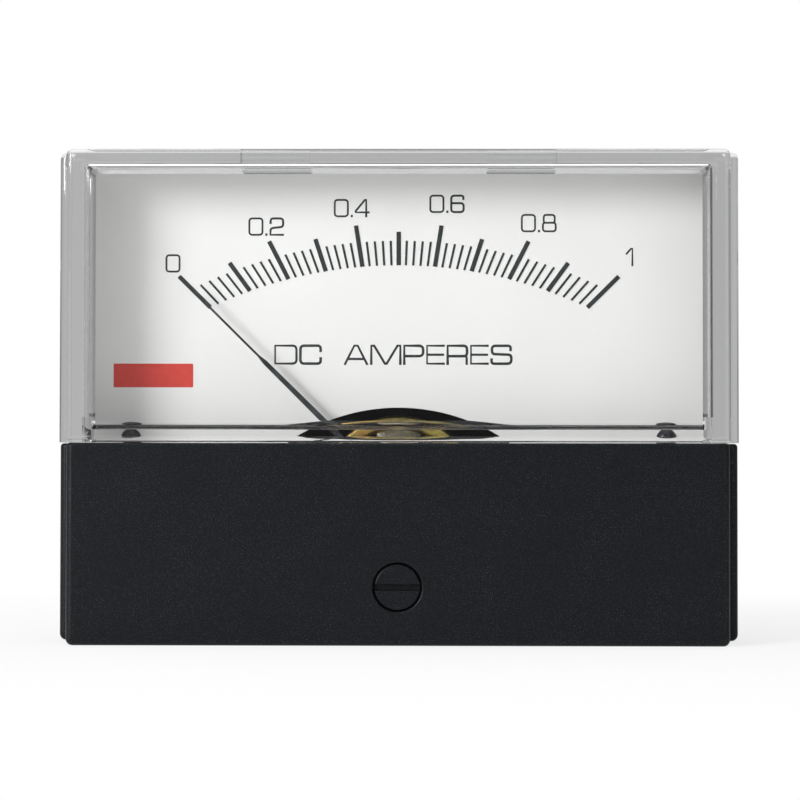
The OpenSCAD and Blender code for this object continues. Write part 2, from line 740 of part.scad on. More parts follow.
// Rear bridge on two short legs, with a tab for the rear hairspring
module rear_bridge() color([0.80, 0.68, 0.38]) {
    span(rear_bridge_y, rear_bridge_back) difference() {
        round_rect(-rear_leg_x - rear_leg_d / 2, pivot_z - rear_bridge_h / 2,
            rear_leg_x + rear_leg_d / 2, pivot_z + rear_bridge_h / 2, 0.6);
        translate([0, pivot_z]) circle(jewel_screw_r);
        for (s = [-1, 1]) translate([s * rear_leg_x, pivot_z]) circle(small_r);
    }
    for (s = [-1, 1]) difference() {
        bar(rear_leg_d, movement_back, rear_bridge_y + slip, s * rear_leg_x, pivot_z);
        bar(2 * small_r, rear_bridge_y - small_grip, rear_bridge_back, s * rear_leg_x, pivot_z);
    }
    span(rear_spring_y, rear_bridge_y + slip) rect(spring_out + spring_t, pivot_z - 0.6,
        spring_out + spring_t + 0.4, pivot_z + 0.6);
}

module rear_bridge_screws() color([0.75, 0.75, 0.77]) for (s = [-1, 1]) {
    bar(leg_w - 0.2, rear_bridge_back, rear_bridge_back + small_head_t, s * rear_leg_x, pivot_z);
    bar(2 * small_r, rear_bridge_y - small_grip, rear_bridge_back + slip, s * rear_leg_x, pivot_z);
}

module jewel_screw_rear() color([0.85, 0.72, 0.40])
    bearing_screw(rear_bridge_y - screw_out, rear_bridge_back + lock_t + screw_out, rear_jewel_y);

module jewel_rear() color([0.75, 0.15, 0.25]) jewel(rear_jewel_y, 1);

module lock_nut_rear() color([0.8, 0.68, 0.38])
    nut(lock_af, lock_t, 2 * jewel_screw_r, rear_bridge_back, 0, pivot_z);

module hairspring_front() color([0.80, 0.60, 0.35]) hairspring(spring_y - spring_w, 0);

module hairspring_rear() color([0.80, 0.60, 0.35]) hairspring(rear_spring_y, 90);

// ---- Moving element, drawn at the scale's zero ----

// Rectangular loop in the plane of the pivot line, a width across, turned to the pointer's rest
module loop(r_in, r_out, y_in, y_out, w) {
    about_pivot(rest_angle + 90) difference() {
        translate([-w / 2, y_out[0], -r_out]) cube([w, y_out[1] - y_out[0], 2 * r_out]);
        translate([-w, y_in[0], -r_in]) cube([2 * w, y_in[1] - y_in[0], 2 * r_in]);
    }
}

module coil_former() color([0.80, 0.80, 0.82])
    loop(former_in, former_out, [coil_y + former_t, coil_back - former_t], [coil_y, coil_back], coil_w + 0.4);

module coil_winding() color([0.78, 0.38, 0.20])
    loop(former_out, winding_out, [coil_y, coil_back], [winding_y, winding_back], coil_w);

// Staff with a collet for the hairspring and a pointed tip, on the coil's outer end
module staff(y_coil, y_tip, y_collet) {
    front = y_tip < y_coil;
    tip = 0.8;
    shoulder = front ? y_tip + tip : y_tip - tip;
    bar(2 * staff_r, min(y_coil, shoulder), max(y_coil, shoulder), 0, pivot_z);
    bar(2 * collet_r, y_collet, y_collet + collet_t, 0, pivot_z);
    translate([0, shoulder, pivot_z]) rotate([front ? 90 : -90, 0, 0]) cylinder(r1 = 0.2, r2 = 0.03, h = tip);
    bar(2, front ? y_coil - 0.4 : y_coil, front ? y_coil : y_coil + 0.4, 0, pivot_z);
}

module pivot_front() color([0.7, 0.7, 0.73]) staff(winding_y, pivot_tip, spring_y - collet_t);

module pivot_rear() color([0.7, 0.7, 0.73]) staff(winding_back, rear_tip, rear_spring_y);

// Pointer blade: a tapered root, then a fine tip
module pointer() color([0.14, 0.15, 0.17]) about_pivot(rest_angle) span(pointer_y, pointer_y + pointer_t)
    difference() {
        union() {
            circle(hub_r);
            polygon([[-pointer_root_w / 2, 0], [pointer_root_w / 2, 0], [pointer_step_w / 2, pointer_step],
                [pointer_tip_w / 2, pointer_step + 1], [pointer_tip_w / 2, pointer_len],
                [-pointer_tip_w / 2, pointer_len], [-pointer_tip_w / 2, pointer_step + 1],
                [-pointer_step_w / 2, pointer_step]]);
        }
        circle(staff_r);
    }

// Cross behind the pointer that carries the balance weights
module balance_arms() color([0.75, 0.75, 0.77]) about_pivot(rest_angle)
    span(pointer_y + pointer_t, pointer_y + 2 * pointer_t) difference() {
        union() {
            circle(hub_r);
            rect(-arm_w / 2, -tail_arm_len, arm_w / 2, 0);
            rect(-side_at - side_len, -arm_w / 2, side_at + side_len, arm_w / 2);
        }
        circle(staff_r);
    }

// Sleeve on one of the arms: its length balances the pointer on its pivots
module sleeve(r, middle, len) {
    arm_y = pointer_y + 1.5 * pointer_t;
    difference() {
        translate([0, arm_y, middle - len / 2]) cylinder(r = r, h = len);
        translate([-arm_w / 2, arm_y - pointer_t / 2, middle - len]) cube([arm_w, pointer_t, 2 * len]);
    }
}

module tail_weight() color([0.82, 0.68, 0.36]) about_pivot(rest_angle + 180) sleeve(tail_r, tail_at, tail_len);

module side_weights() color([0.82, 0.68, 0.36]) for (a = [-90, 90])
    about_pivot(rest_angle + a) sleeve(side_r, side_at, side_len);

// ---- Terminals and circuit ----

module terminal_stud(s) color([0.85, 0.72, 0.42]) {
    free_y = boss_back + 2 * washer_t + 2 * nut_t;
    bar(terminal_shank_d, floor_y - tag_t - slip, free_y, s * terminal_x, terminal_z);
    bar(terminal_d, free_y - slip, free_y + terminal_free, s * terminal_x, terminal_z);
    translate([s * terminal_x, floor_y - tag_t, terminal_z]) rotate([90, 0, 0])
        cylinder(d = terminal_head_af / cos(30), h = head_t, $fn = 6);
}

// Brass tag under the stud's head, with an ear for the shunt
module terminal_tag(s) color([0.85, 0.72, 0.42]) span(floor_y - tag_t, floor_y) difference() {
    union() {
        translate([s * terminal_x, terminal_z]) circle(d = tag_d);
        rect(s > 0 ? ear_end : -terminal_x, terminal_z - ear_h / 2,
            s > 0 ? terminal_x : -ear_end, terminal_z + ear_h / 2);
        rect(s * terminal_x - strip_w / 2, foot_z, s * terminal_x + strip_w / 2, terminal_z);
    }
    translate([s * terminal_x, terminal_z]) circle(d = terminal_shank_d);
}

// Manganin strip across the two tags
module shunt() color([0.70, 0.50, 0.35]) span(floor_y - tag_t - shunt_t, floor_y - tag_t)
    rect(-ear_end - shunt_lap, terminal_z - shunt_h / 2, ear_end + shunt_lap, terminal_z + shunt_h / 2);

module terminal_lock_nuts() color([0.85, 0.72, 0.42]) for (s = [-1, 1])
    nut(nut_af, nut_t, terminal_shank_d, boss_back + washer_t, s * terminal_x, terminal_z);

module terminal_washers() color([0.80, 0.80, 0.82]) for (s = [-1, 1], y = [0, washer_t + nut_t]) difference() {
    bar(nut_af + washer_over, boss_back + y, boss_back + y + washer_t, s * terminal_x, terminal_z);
    bar(terminal_shank_d, boss_back, boss_back + y + washer_t + 1, s * terminal_x, terminal_z);
}

module terminal_nuts() color([0.85, 0.72, 0.42]) for (s = [-1, 1])
    nut(nut_af, nut_t, terminal_shank_d, boss_back + 2 * washer_t + nut_t, s * terminal_x, terminal_z);

// Series resistor wound on a bobbin that stands on the barrel's floor
module swamp_resistor() color([0.45, 0.22, 0.12]) {
    top_y = floor_y - bobbin_len;
    bar(bobbin_d, floor_y - cheek_t, floor_y, 0, bobbin_z);
    bar(bobbin_wire_d, top_y, floor_y, 0, bobbin_z);
    bar(bobbin_d, top_y - cheek_t, top_y, 0, bobbin_z);
}

// Strip from the left tag forward to the rear bridge
module lead_strip_left() color([0.85, 0.72, 0.42]) {
    span(rear_bridge_back, floor_y - tag_t)
        rect(-terminal_x - strip_w / 2, foot_z, -terminal_x + strip_w / 2, foot_z + strip_t);
    span(rear_bridge_back, rear_bridge_back + strip_t) {
        rect(-terminal_x - strip_w / 2, strip_z, -terminal_x + strip_w / 2, foot_z + strip_t);
        rect(-terminal_x - strip_w / 2, strip_z, -rear_leg_x + 1, strip_z + strip_w / 2);
    }
}

// Strip from the right tag down and forward to the movement plate
module lead_strip_right() color([0.85, 0.72, 0.42]) {
    span(floor_y - tag_t - strip_t, floor_y - tag_t)
        rect(terminal_x - strip_w / 2, pivot_z, terminal_x + strip_w / 2, foot_z + 1);
    span(movement_back, floor_y - tag_t)
        rect(terminal_x - strip_w / 2, pivot_z, terminal_x + strip_w / 2, pivot_z + strip_t);
}

front_cover();
front_mask();
zero_screw();
zero_retainer();
housing();
dial_plate();
scale_marks();
dial_screw(-1);  // dial_screw_left
dial_screw(1);  // dial_screw_right
yoke_ring();
core_magnet();
core_spacer(0);  // core_spacer_top
core_spacer(180);  // core_spacer_bottom
movement_plate();
movement_screw(-1);  // movement_screw_left
movement_screw(1);  // movement_screw_right
front_bridge();
front_bridge_screws();
rear_bridge();
rear_bridge_screws();
jewel_screw_front();
jewel_front();
lock_nut_front();
jewel_screw_rear();
jewel_rear();
lock_nut_rear();
zero_lever();
hairspring_front();
hairspring_rear();
coil_former();
coil_winding();
pivot_front();
pivot_rear();
pointer();
balance_arms();
tail_weight();
side_weights();
pointer_stops();
terminal_stud(-1);  // terminal_stud_left
terminal_stud(1);  // terminal_stud_right
terminal_tag(-1);  // terminal_tag_left
terminal_tag(1);  // terminal_tag_right
terminal_lock_nuts();
terminal_washers();
terminal_nuts();
shunt();
swamp_resistor();
lead_strip_left();
lead_strip_right();
mounting_studs();
mask_screws();
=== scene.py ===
import json
import math

import bpy
from mathutils import Matrix, Vector


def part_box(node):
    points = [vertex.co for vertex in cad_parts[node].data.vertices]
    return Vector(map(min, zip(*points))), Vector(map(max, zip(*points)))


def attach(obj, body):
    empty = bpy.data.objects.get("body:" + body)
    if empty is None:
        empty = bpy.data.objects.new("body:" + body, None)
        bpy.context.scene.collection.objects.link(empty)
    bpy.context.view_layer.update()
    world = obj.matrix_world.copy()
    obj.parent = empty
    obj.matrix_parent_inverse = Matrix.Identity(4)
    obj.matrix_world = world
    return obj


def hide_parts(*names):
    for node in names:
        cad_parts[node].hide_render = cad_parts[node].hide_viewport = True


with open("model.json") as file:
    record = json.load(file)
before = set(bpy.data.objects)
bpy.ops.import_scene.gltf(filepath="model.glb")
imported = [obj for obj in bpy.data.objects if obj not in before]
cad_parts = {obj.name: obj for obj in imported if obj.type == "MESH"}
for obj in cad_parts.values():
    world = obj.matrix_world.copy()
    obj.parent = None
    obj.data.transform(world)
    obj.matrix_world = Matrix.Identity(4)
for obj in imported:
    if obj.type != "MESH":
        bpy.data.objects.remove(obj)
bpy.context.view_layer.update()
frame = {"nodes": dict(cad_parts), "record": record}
mm = 0.001
nodes = frame["nodes"]


class Wire:
    # one socket of a shader tree; sums and products on it add Math nodes
    def __init__(self, tree, socket=None):
        self.tree = tree
        self.socket = socket

    def add(self, kind, settings=None, inputs=None, output=0):
        node = self.tree.nodes.new("ShaderNode" + kind)
        for key, value in (settings or {}).items():
            if key == "stops":
                ramp = node.color_ramp
                while len(ramp.elements) < len(value):
                    ramp.elements.new(0.5)
                for element, (place, colour) in zip(ramp.elements, value):
                    element.position = place
                    element.color = (*colour, 1)
            else:
                setattr(node, key, value)
        for key, value in (inputs or {}).items():
            if isinstance(value, Wire):
                self.tree.links.new(value.socket, node.inputs[key])
            else:
                node.inputs[key].default_value = value
        return Wire(self.tree, node.outputs[output]) if node.outputs else node

    def maths(self, operation, *terms):
        return self.add("Math", {"operation": operation}, dict(enumerate(terms)))

    def __add__(self, other):
        return self.maths("ADD", self, other)

    def __mul__(self, other):
        return self.maths("MULTIPLY", self, other)

    def __sub__(self, other):
        return self.maths("SUBTRACT", self, other)

    def __rsub__(self, other):
        return self.maths("SUBTRACT", other, self)

    def __pow__(self, other):
        return self.maths("POWER", self, other)

    __radd__ = __add__
    __rmul__ = __mul__

    def place(self):  # the piece's own coordinates, in metres
        return self.add("TexCoord", output="Object")

    def noise(self, size, detail=3, stretch=(1, 1, 1), rough=0.5):  # size is a feature's, in mm
        mapping = self.add("Mapping", None, {"Vector": self.place(), "Scale": stretch})
        return self.add("TexNoise", None, {"Vector": mapping, "Scale": 1 / (size * mm),
                                           "Detail": detail, "Roughness": rough})

    def ramp(self, value, *stops):
        return self.add("ValToRGB", {"stops": stops}, {"Fac": value})

    def level(self, value, low, high, bottom=0.0, top=1.0):
        return self.add("MapRange", {"interpolation_type": "SMOOTHSTEP"},
                        {"Value": value, "From Min": low, "From Max": high, "To Min": bottom, "To Max": top})

    def blend(self, share, first, second):
        return self.add("Mix", {"data_type": "RGBA"}, {0: share, 6: first, 7: second}, 2)

    def axis(self, vector, name):
        return self.add("SeparateXYZ", None, {"Vector": vector}, name)

    def bump(self, height, depth, strength=1.0):  # depth in mm
        return self.add("Bump", None, {"Height": height, "Distance": depth * mm, "Strength": strength})


def newMaterial(name):
    material = bpy.data.materials.new(name)
    material.use_nodes = True
    material.node_tree.nodes.clear()
    return material, Wire(material.node_tree)


def surface(wire, sockets):
    shader = wire.add("BsdfPrincipled", None, sockets)
    wire.add("OutputMaterial", None, {"Surface": shader})
    return shader


def plastic(name, colour, glintSpeck, grain, rough, gloss=0.35):
    # grain: its size and depth in mm, and the share that is specks; the specks are painted glints, lighter in
    # colour where the grain would sparkle, and their lower roughness is real
    size, depth, share = grain
    material, wire = newMaterial(name)
    pits = wire.noise(size, 3, rough=0.6)
    cloud = wire.noise(7, 3)
    glintDots = wire.level(wire.noise(size * 0.8, 2, rough=0.4), 0.74 - share, 0.8 - share)
    # painted highlight: the specks' lighter colour stands in for sparkle off the grain
    tone = wire.blend(glintDots * (0.45 + cloud), colour, glintSpeck)
    surface(wire, {"Base Color": tone, "Roughness": rough + 0.12 * (cloud - 0.5) - 0.12 * glintDots,
                   "Specular IOR Level": gloss, "Normal": wire.bump(pits, depth)})
    return material


def metal(name, light, dark, rough, brush=None, tint=0.5, size=1.2, depth=0.004):
    material, wire = newMaterial(name)
    stain = wire.noise(size, 4, rough=0.6)
    fine = wire.noise(0.12, 3, brush or (1, 1, 1))
    tone = wire.blend(wire.level(stain, 0.5 - tint * 0.4, 0.5 + tint * 0.4), dark, light)
    surface(wire, {"Base Color": tone, "Metallic": 1.0,
                   "Roughness": rough + 0.22 * (fine - 0.5) + 0.14 * (stain - 0.5),
                   "Normal": wire.bump(fine, depth)})
    return material


def glassMaterial(name, values):
    material, wire = newMaterial(name)
    smudge = wire.noise(9, 3)
    scuff = wire.noise(0.5, 2, (0.06, 1, 1))
    clear = wire.add("BsdfPrincipled", None, {
        "Base Color": values["colour"], "Transmission Weight": 1.0, "IOR": values["bend"],
        "Roughness": wire.level(smudge * 0.8 + scuff * 0.2, 0.55, 0.8, 0.0, values["haze"])})
    where = wire.place()
    height = wire.axis(where, "Z")
    soft = values["softness"] * mm
    wall = wire.maths("MAXIMUM", wire.level(wire.maths("ABSOLUTE", wire.axis(where, "X")),
                                            values["wallX"] * mm - soft, values["wallX"] * mm),
                      wire.level(height, values["wallZ"] * mm - soft, values["wallZ"] * mm))
    sill = wire.level(height, values["sillZ"] * mm + soft, values["sillZ"] * mm)
    shade = wire.blend(sill, wire.blend(wall, values["windowPass"], values["wallPass"]), values["sillPass"])
    through = wire.add("BsdfTransparent", None, {"Color": shade})
    lightOnly = wire.maths("MAXIMUM", wire.add("LightPath", output="Is Shadow Ray"),
                           wire.add("LightPath", output="Is Diffuse Ray"))
    mixed = wire.add("MixShader", None, {0: lightOnly, 1: clear, 2: through})
    wire.add("OutputMaterial", None, {"Surface": mixed})
    return material


def ringMaterial():
    material, wire = newMaterial("yellowChromate")
    where = wire.place()
    x = wire.axis(where, "X") * 1000
    # the tone runs more orange towards the left and more gold towards the right, mixed with random patches
    film = wire.noise(2.6, 3) * 0.7 + 0.3 * wire.level(x, -9, 9)
    tone = wire.ramp(film, (0.3, (0.55, 0.22, 0.06)), (0.42, (0.42, 0.3, 0.09)), (0.52, (0.2, 0.19, 0.08)),
                     (0.62, (0.5, 0.4, 0.1)), (0.75, (0.3, 0.26, 0.12)))
    fine = wire.noise(0.1, 3, (1, 6, 1))
    surface(wire, {"Base Color": tone, "Metallic": 1.0, "Roughness": 0.34 + 0.2 * (fine - 0.5),
                   "Normal": wire.bump(fine, 0.006)})
    return material


coil = {"lean": 45.25, "wire": 0.09}


def windingMaterial():
    material, wire = newMaterial("copperWinding")
    where = wire.place()
    turn = wire.add("VectorRotate", {"rotation_type": "Y_AXIS"},
                    {"Vector": where, "Angle": math.radians(-coil["lean"])})
    across = wire.axis(turn, "X")
    strand = wire.maths("PINGPONG", across * (1 / (coil["wire"] * mm)), 1.0)
    tone = wire.blend(wire.noise(0.8, 2), (0.42, 0.14, 0.05, 1), (0.72, 0.32, 0.13, 1))
    surface(wire, {"Base Color": tone, "Metallic": 0.9, "Roughness": 0.32 + 0.1 * strand, "Coat Weight": 0.5,
                   "Coat Roughness": 0.15, "Normal": wire.bump(strand ** 0.5, coil["wire"] * 0.4)})
    return material


materials = {
    "clear_cover": glassMaterial("clearAcrylic", {
        "colour": (0.985, 0.99, 0.99, 1), "bend": 1.49, "haze": 0.03, "wallX": 37.5, "wallZ": 29.9,
        "sillZ": -1.2, "softness": 0.4, "windowPass": (0.97, 0.97, 0.97, 1),
        "wallPass": (0.42, 0.42, 0.42, 1), "sillPass": (0.6, 0.6, 0.6, 1)}),
    "black_mask": plastic("sparkGrainBlack", (0.003, 0.004, 0.0055, 1), (0.05, 0.06, 0.068, 1),
                          (0.14, 0.012, 0.12), 0.38, 0.17),
    "black_case": plastic("mouldedBlack", (0.010, 0.011, 0.014, 1), (0.018, 0.019, 0.023, 1),
                          (0.3, 0.006, 0.1), 0.42, 0.3),
    "dial_ink": plastic("dialInk", (0.028, 0.032, 0.033, 1), (0.04, 0.045, 0.045, 1), (0.1, 0.001, 0.05),
                        0.55, 0.2),
    "black_oxide": metal("blackOxide", (0.05, 0.05, 0.055, 1), (0.02, 0.02, 0.024, 1), 0.34),
    "pointer_black": metal("pointerBlack", (0.045, 0.05, 0.055, 1), (0.025, 0.028, 0.03, 1), 0.5,
                           (1, 1, 1)),
    "bare_aluminium": metal("bareAluminium", (0.78, 0.78, 0.8, 1), (0.58, 0.58, 0.6, 1), 0.34),
    "yoke_iron": ringMaterial(),
    "magnet": metal("sinteredMagnet", (0.26, 0.27, 0.29, 1), (0.13, 0.13, 0.15, 1), 0.5, size=0.4,
                    depth=0.02),
    "plain_brass": metal("turnedBrass", (0.82, 0.62, 0.27, 1), (0.6, 0.42, 0.16, 1), 0.26, (1, 8, 1)),
    "bronze_spring": metal("springBronze", (0.75, 0.48, 0.22, 1), (0.5, 0.28, 0.12, 1), 0.25),
    "copper_wire": windingMaterial(),
    "steel": metal("brightSteel", (0.68, 0.68, 0.7, 1), (0.42, 0.42, 0.45, 1), 0.26, (1, 8, 1)),
    "jewel": plastic("ruby", (0.4, 0.01, 0.05, 1), (0.6, 0.05, 0.1, 1), (0.4, 0.0005, 0.05), 0.08, 0.8),
    "zinc_cast": metal("zincCasting", (0.5, 0.47, 0.36, 1), (0.32, 0.3, 0.22, 1), 0.48, size=0.6, depth=0.02),
    "plated_brass": metal("nickelPlate", (0.74, 0.7, 0.6, 1), (0.56, 0.5, 0.4, 1), 0.24),
    "manganin": metal("manganin", (0.55, 0.36, 0.22, 1), (0.34, 0.2, 0.12, 1), 0.36, (8, 1, 1)),
}


def dialMaterial():
    material, wire = newMaterial("dialEnamel")
    cloud = wire.noise(14, 3)
    orange = wire.noise(0.35, 3)
    tone = wire.blend(cloud, (0.8, 0.8, 0.785, 1), (0.86, 0.86, 0.85, 1))
    surface(wire, {"Base Color": tone, "Roughness": 0.5 + 0.1 * (orange - 0.5), "Specular IOR Level": 0.3,
                   "Normal": wire.bump(orange, 0.002)})
    return material


materials["dial_white"] = dialMaterial()
print("materials made")


def objectMode():
    if bpy.context.mode != "OBJECT":
        bpy.ops.object.mode_set(mode="OBJECT")


def only(piece):
    objectMode()
    bpy.ops.object.select_all(action="DESELECT")
    piece.select_set(True)
    bpy.context.view_layer.objects.active = piece


def settle(piece, name):
    piece.name = name
    only(piece)
    bpy.ops.object.transform_apply(location=True, rotation=True, scale=True)
    return piece


def addBox(name, low, high):  # corners in mm
    objectMode()
    bpy.ops.object.select_all(action="DESELECT")
    middle = [(a + b) / 2 * mm for a, b in zip(low, high)]
    bpy.ops.mesh.primitive_cube_add(size=1, location=middle, scale=[(b - a) * mm for a, b in zip(low, high)])
    return settle(bpy.context.object, name)


def addRod(name, width, front, back, x=0.0, z=0.0, sides=64):  # a round bar along Y, in mm
    objectMode()
    bpy.ops.object.select_all(action="DESELECT")
    bpy.ops.mesh.primitive_cylinder_add(vertices=sides, radius=width / 2 * mm, depth=(back - front) * mm,
                                        location=(x * mm, (front + back) / 2 * mm, z * mm),
                                        rotation=(math.pi / 2, 0, 0))
    return settle(bpy.context.object, name)


def bevelWhere(piece, radius, segments, wanted):  # wanted takes an edge's two ends in mm
    only(piece)
    bpy.context.tool_settings.mesh_select_mode = (False, True, False)
    bpy.ops.object.mode_set(mode="EDIT")
    bpy.ops.mesh.select_all(action="DESELECT")
    bpy.ops.object.mode_set(mode="OBJECT")
    points = [v.co / mm for v in piece.data.vertices]
    for edge in piece.data.edges:
        edge.select = bool(wanted(points[edge.vertices[0]], points[edge.vertices[1]]))
    bpy.ops.object.mode_set(mode="EDIT")
    bpy.ops.mesh.bevel(offset=radius * mm, segments=segments, profile=0.5, affect="EDGES", clamp_overlap=True)
    bpy.ops.object.mode_set(mode="OBJECT")


def combine(piece, others, operation="DIFFERENCE"):
    for other in others:
        cut = piece.modifiers.new(operation.lower(), "BOOLEAN")
        cut.operation = operation
        cut.solver = "EXACT"
        cut.object = other
        only(piece)
        bpy.ops.object.modifier_apply(modifier=cut.name)
        bpy.data.objects.remove(other)
    return piece


def smooth(piece, angle=35.0):
    only(piece)
    bpy.ops.object.mode_set(mode="EDIT")
    bpy.ops.mesh.select_all(action="SELECT")
    bpy.ops.mesh.remove_doubles(threshold=1e-7)
    bpy.ops.mesh.normals_make_consistent(inside=False)
    bpy.ops.object.mode_set(mode="OBJECT")
    bpy.ops.object.shade_smooth_by_angle(angle=math.radians(angle))
    even = piece.modifiers.new("even", "WEIGHTED_NORMAL")
    even.keep_sharp = True
    bpy.ops.object.modifier_apply(modifier=even.name)


def finishPiece(piece, material, body, slot, *replaced):
    piece.data.materials.clear()
    piece.data.materials.append(materials[material])
    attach(piece, body)
    if replaced:
        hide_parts(*replaced)
    return piece


def near(a, b):
    return abs(a - b) < 1e-3


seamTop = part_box("front_mask")[1].z / mm
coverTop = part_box("front_cover")[1].z / mm
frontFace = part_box("front_cover")[0].y / mm
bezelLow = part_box("front_mask")[0].z / mm
cover = {"blockWide": 79.0, "flangeWide": 83.0, "flangeDeep": 5.0, "flangeRise": 0.6, "sideWall": 2.0,
         "topWall": 1.6, "front": 2.0, "edge": 0.8, "inner": 0.7, "seam": 0.1, "foot": 0.7, "corner": 0.15,
         "lip": 1.5, "lipRound": 1.1, "lipDeep": 4.0, "snapWide": 8.4, "snapAt": 15.0, "snapFrom": -4.0,
         "ribHigh": 0.9, "ribDeep": 1.2, "tongue": 1.0, "tongueRise": 3.0, "tongueDrop": 5.0, "catch": 0.2,
         "catchHigh": 0.8, "rounds": 7, "topRounds": 4, "cornerRounds": 3, "lipRounds": 10}
blockTop = coverTop - cover["flangeRise"]
overlap = 0.05  # how far a joined shape reaches into the one that carries it, in mm


def bezelSolid(name, block, flange, low, high, rise, foot, corner, top):
    parts = []
    for half, front, up, lower in ((block, frontFace, high, foot),
                                   (flange, -cover["flangeDeep"], high + rise, corner)):
        part = addBox(name, (-half, front, low), (half, 0, up))

        def outer(a, b):  # upright front edges, and level ones of the same radius
            if near(a.y, 0) and near(b.y, 0):
                return False
            if not near(a.z, b.z):
                return near(a.y, front)
            return near(lower if near(a.z, low) else top, cover["edge"])

        bevelWhere(part, cover["edge"], cover["rounds"], outer)
        if not near(top, cover["edge"]):
            bevelWhere(part, top, cover["topRounds"], lambda a, b: near(a.z, up) and near(b.z, up)
                       and not (near(a.y, 0) and near(b.y, 0)))
        if not near(lower, cover["edge"]):
            side = addBox("side", (-half - 1, front, low), (half + 1, 1, up + 1))
            bevelWhere(side, lower, cover["rounds"], lambda a, b: all(
                near(p.y, front) and near(p.z, low) for p in (a, b)))
            face = addBox("face", (-half, front - 1, low), (half, 1, up + 1))
            bevelWhere(face, corner, cover["cornerRounds"],
                       lambda a, b: not near(a.y, b.y) and near(a.z, low) and near(b.z, low))
            combine(part, [side, face], "INTERSECT")
        parts.append(part)
    return combine(parts[0], parts[1:], "UNION")


def makeCover():
    c = cover
    low = seamTop + c["seam"]
    piece = bezelSolid("clearCover", c["blockWide"] / 2, c["flangeWide"] / 2, low, blockTop, c["flangeRise"],
                       c["foot"], c["corner"], c["edge"])
    innerX = c["blockWide"] / 2 - c["sideWall"]
    innerTop = blockTop - c["topWall"]
    innerFront = frontFace + c["front"]
    sill = low + c["lip"]

    def sillEdge(a, b):
        return all(near(p.y, innerFront) and near(p.z, sill) for p in (a, b))

    hollow = addBox("hollow", (-innerX, innerFront, sill), (innerX, 1, innerTop))
    bevelWhere(hollow, c["inner"], c["rounds"],
               lambda a, b: not (a.y > 0.5 and b.y > 0.5) and not sillEdge(a, b))
    fillet = addBox("sill", (-innerX - 1, innerFront, sill), (innerX + 1, 2, innerTop + 1))
    bevelWhere(fillet, c["lipRound"], c["lipRounds"], sillEdge)
    combine(hollow, [fillet], "INTERSECT")
    opening = addBox("opening", (-innerX, frontFace + c["lipDeep"], low - 1),
                     (innerX, 2, sill + c["lipRound"] + 1))
    cuts = [hollow, opening]
    for side in (-1, 1):
        middle = side * c["snapAt"]
        cuts.append(addBox("snap", (middle - c["snapWide"] / 2, c["snapFrom"], innerTop - c["inner"]),
                           (middle + c["snapWide"] / 2, -c["ribDeep"], coverTop + 1)))
    combine(piece, cuts)
    adds = []
    for side in (-1, 1):
        middle = side * c["snapAt"]
        adds.append(addBox("rib", (middle - c["snapWide"] / 2, -c["ribDeep"], innerTop - c["ribHigh"]),
                           (middle + c["snapWide"] / 2, 0, innerTop + overlap)))
        outer, inner = side * (innerX + overlap), side * (innerX - c["tongue"] - overlap)
        wide = sorted((outer, inner))
        back = frontFace + c["lipDeep"]
        adds.append(addBox("tongueRoot", (wide[0], innerFront - overlap, low + c["lip"] / 2),
                           (wide[1], back, low + c["tongueRise"])))
        tip = sorted((side * (innerX - overlap), side * (innerX - c["tongue"] - overlap)))
        adds.append(addBox("tongue", (tip[0], innerFront + overlap, low - c["tongueDrop"]),
                           (tip[1], back, sill)))
        latch = sorted((side * (innerX - 0.2), side * (innerX + c["catch"])))
        adds.append(addBox("catch", (latch[0], innerFront + overlap, low - c["tongueDrop"] + c["catchHigh"]),
                           (latch[1], back, low - c["tongueDrop"] + 2 * c["catchHigh"])))
    combine(piece, adds, "UNION")
    smooth(piece)
    return finishPiece(piece, "clear_cover", "meter", "clear_cover", "front_cover")


coverPiece = makeCover()
print("cover made,", len(coverPiece.data.polygons), "faces")


mask = {"inset": 0.15, "top": 0.4, "bossAt": 22.0, "bossWide": 5.0, "bossHole": 2.2, "bossUp": 5.0,
        "bossSkin": 3.0, "collarWide": 9.4, "collarBore": 7.0, "collarBack": -10.8, "hole": 5.8,
        "holeChamfer": 0.22, "bottomWall": 1.6, "bossBack": -3.4, "pocketFrom": -8.2, "pocketHigh": 1.6,
        "pocketIn": 1.0, "pocketOut": 0.3, "pocketDeep": 3.95}
zeroLow, zeroHigh = (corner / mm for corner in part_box("zero_screw"))
zeroZ = (zeroLow.z + zeroHigh.z) / 2


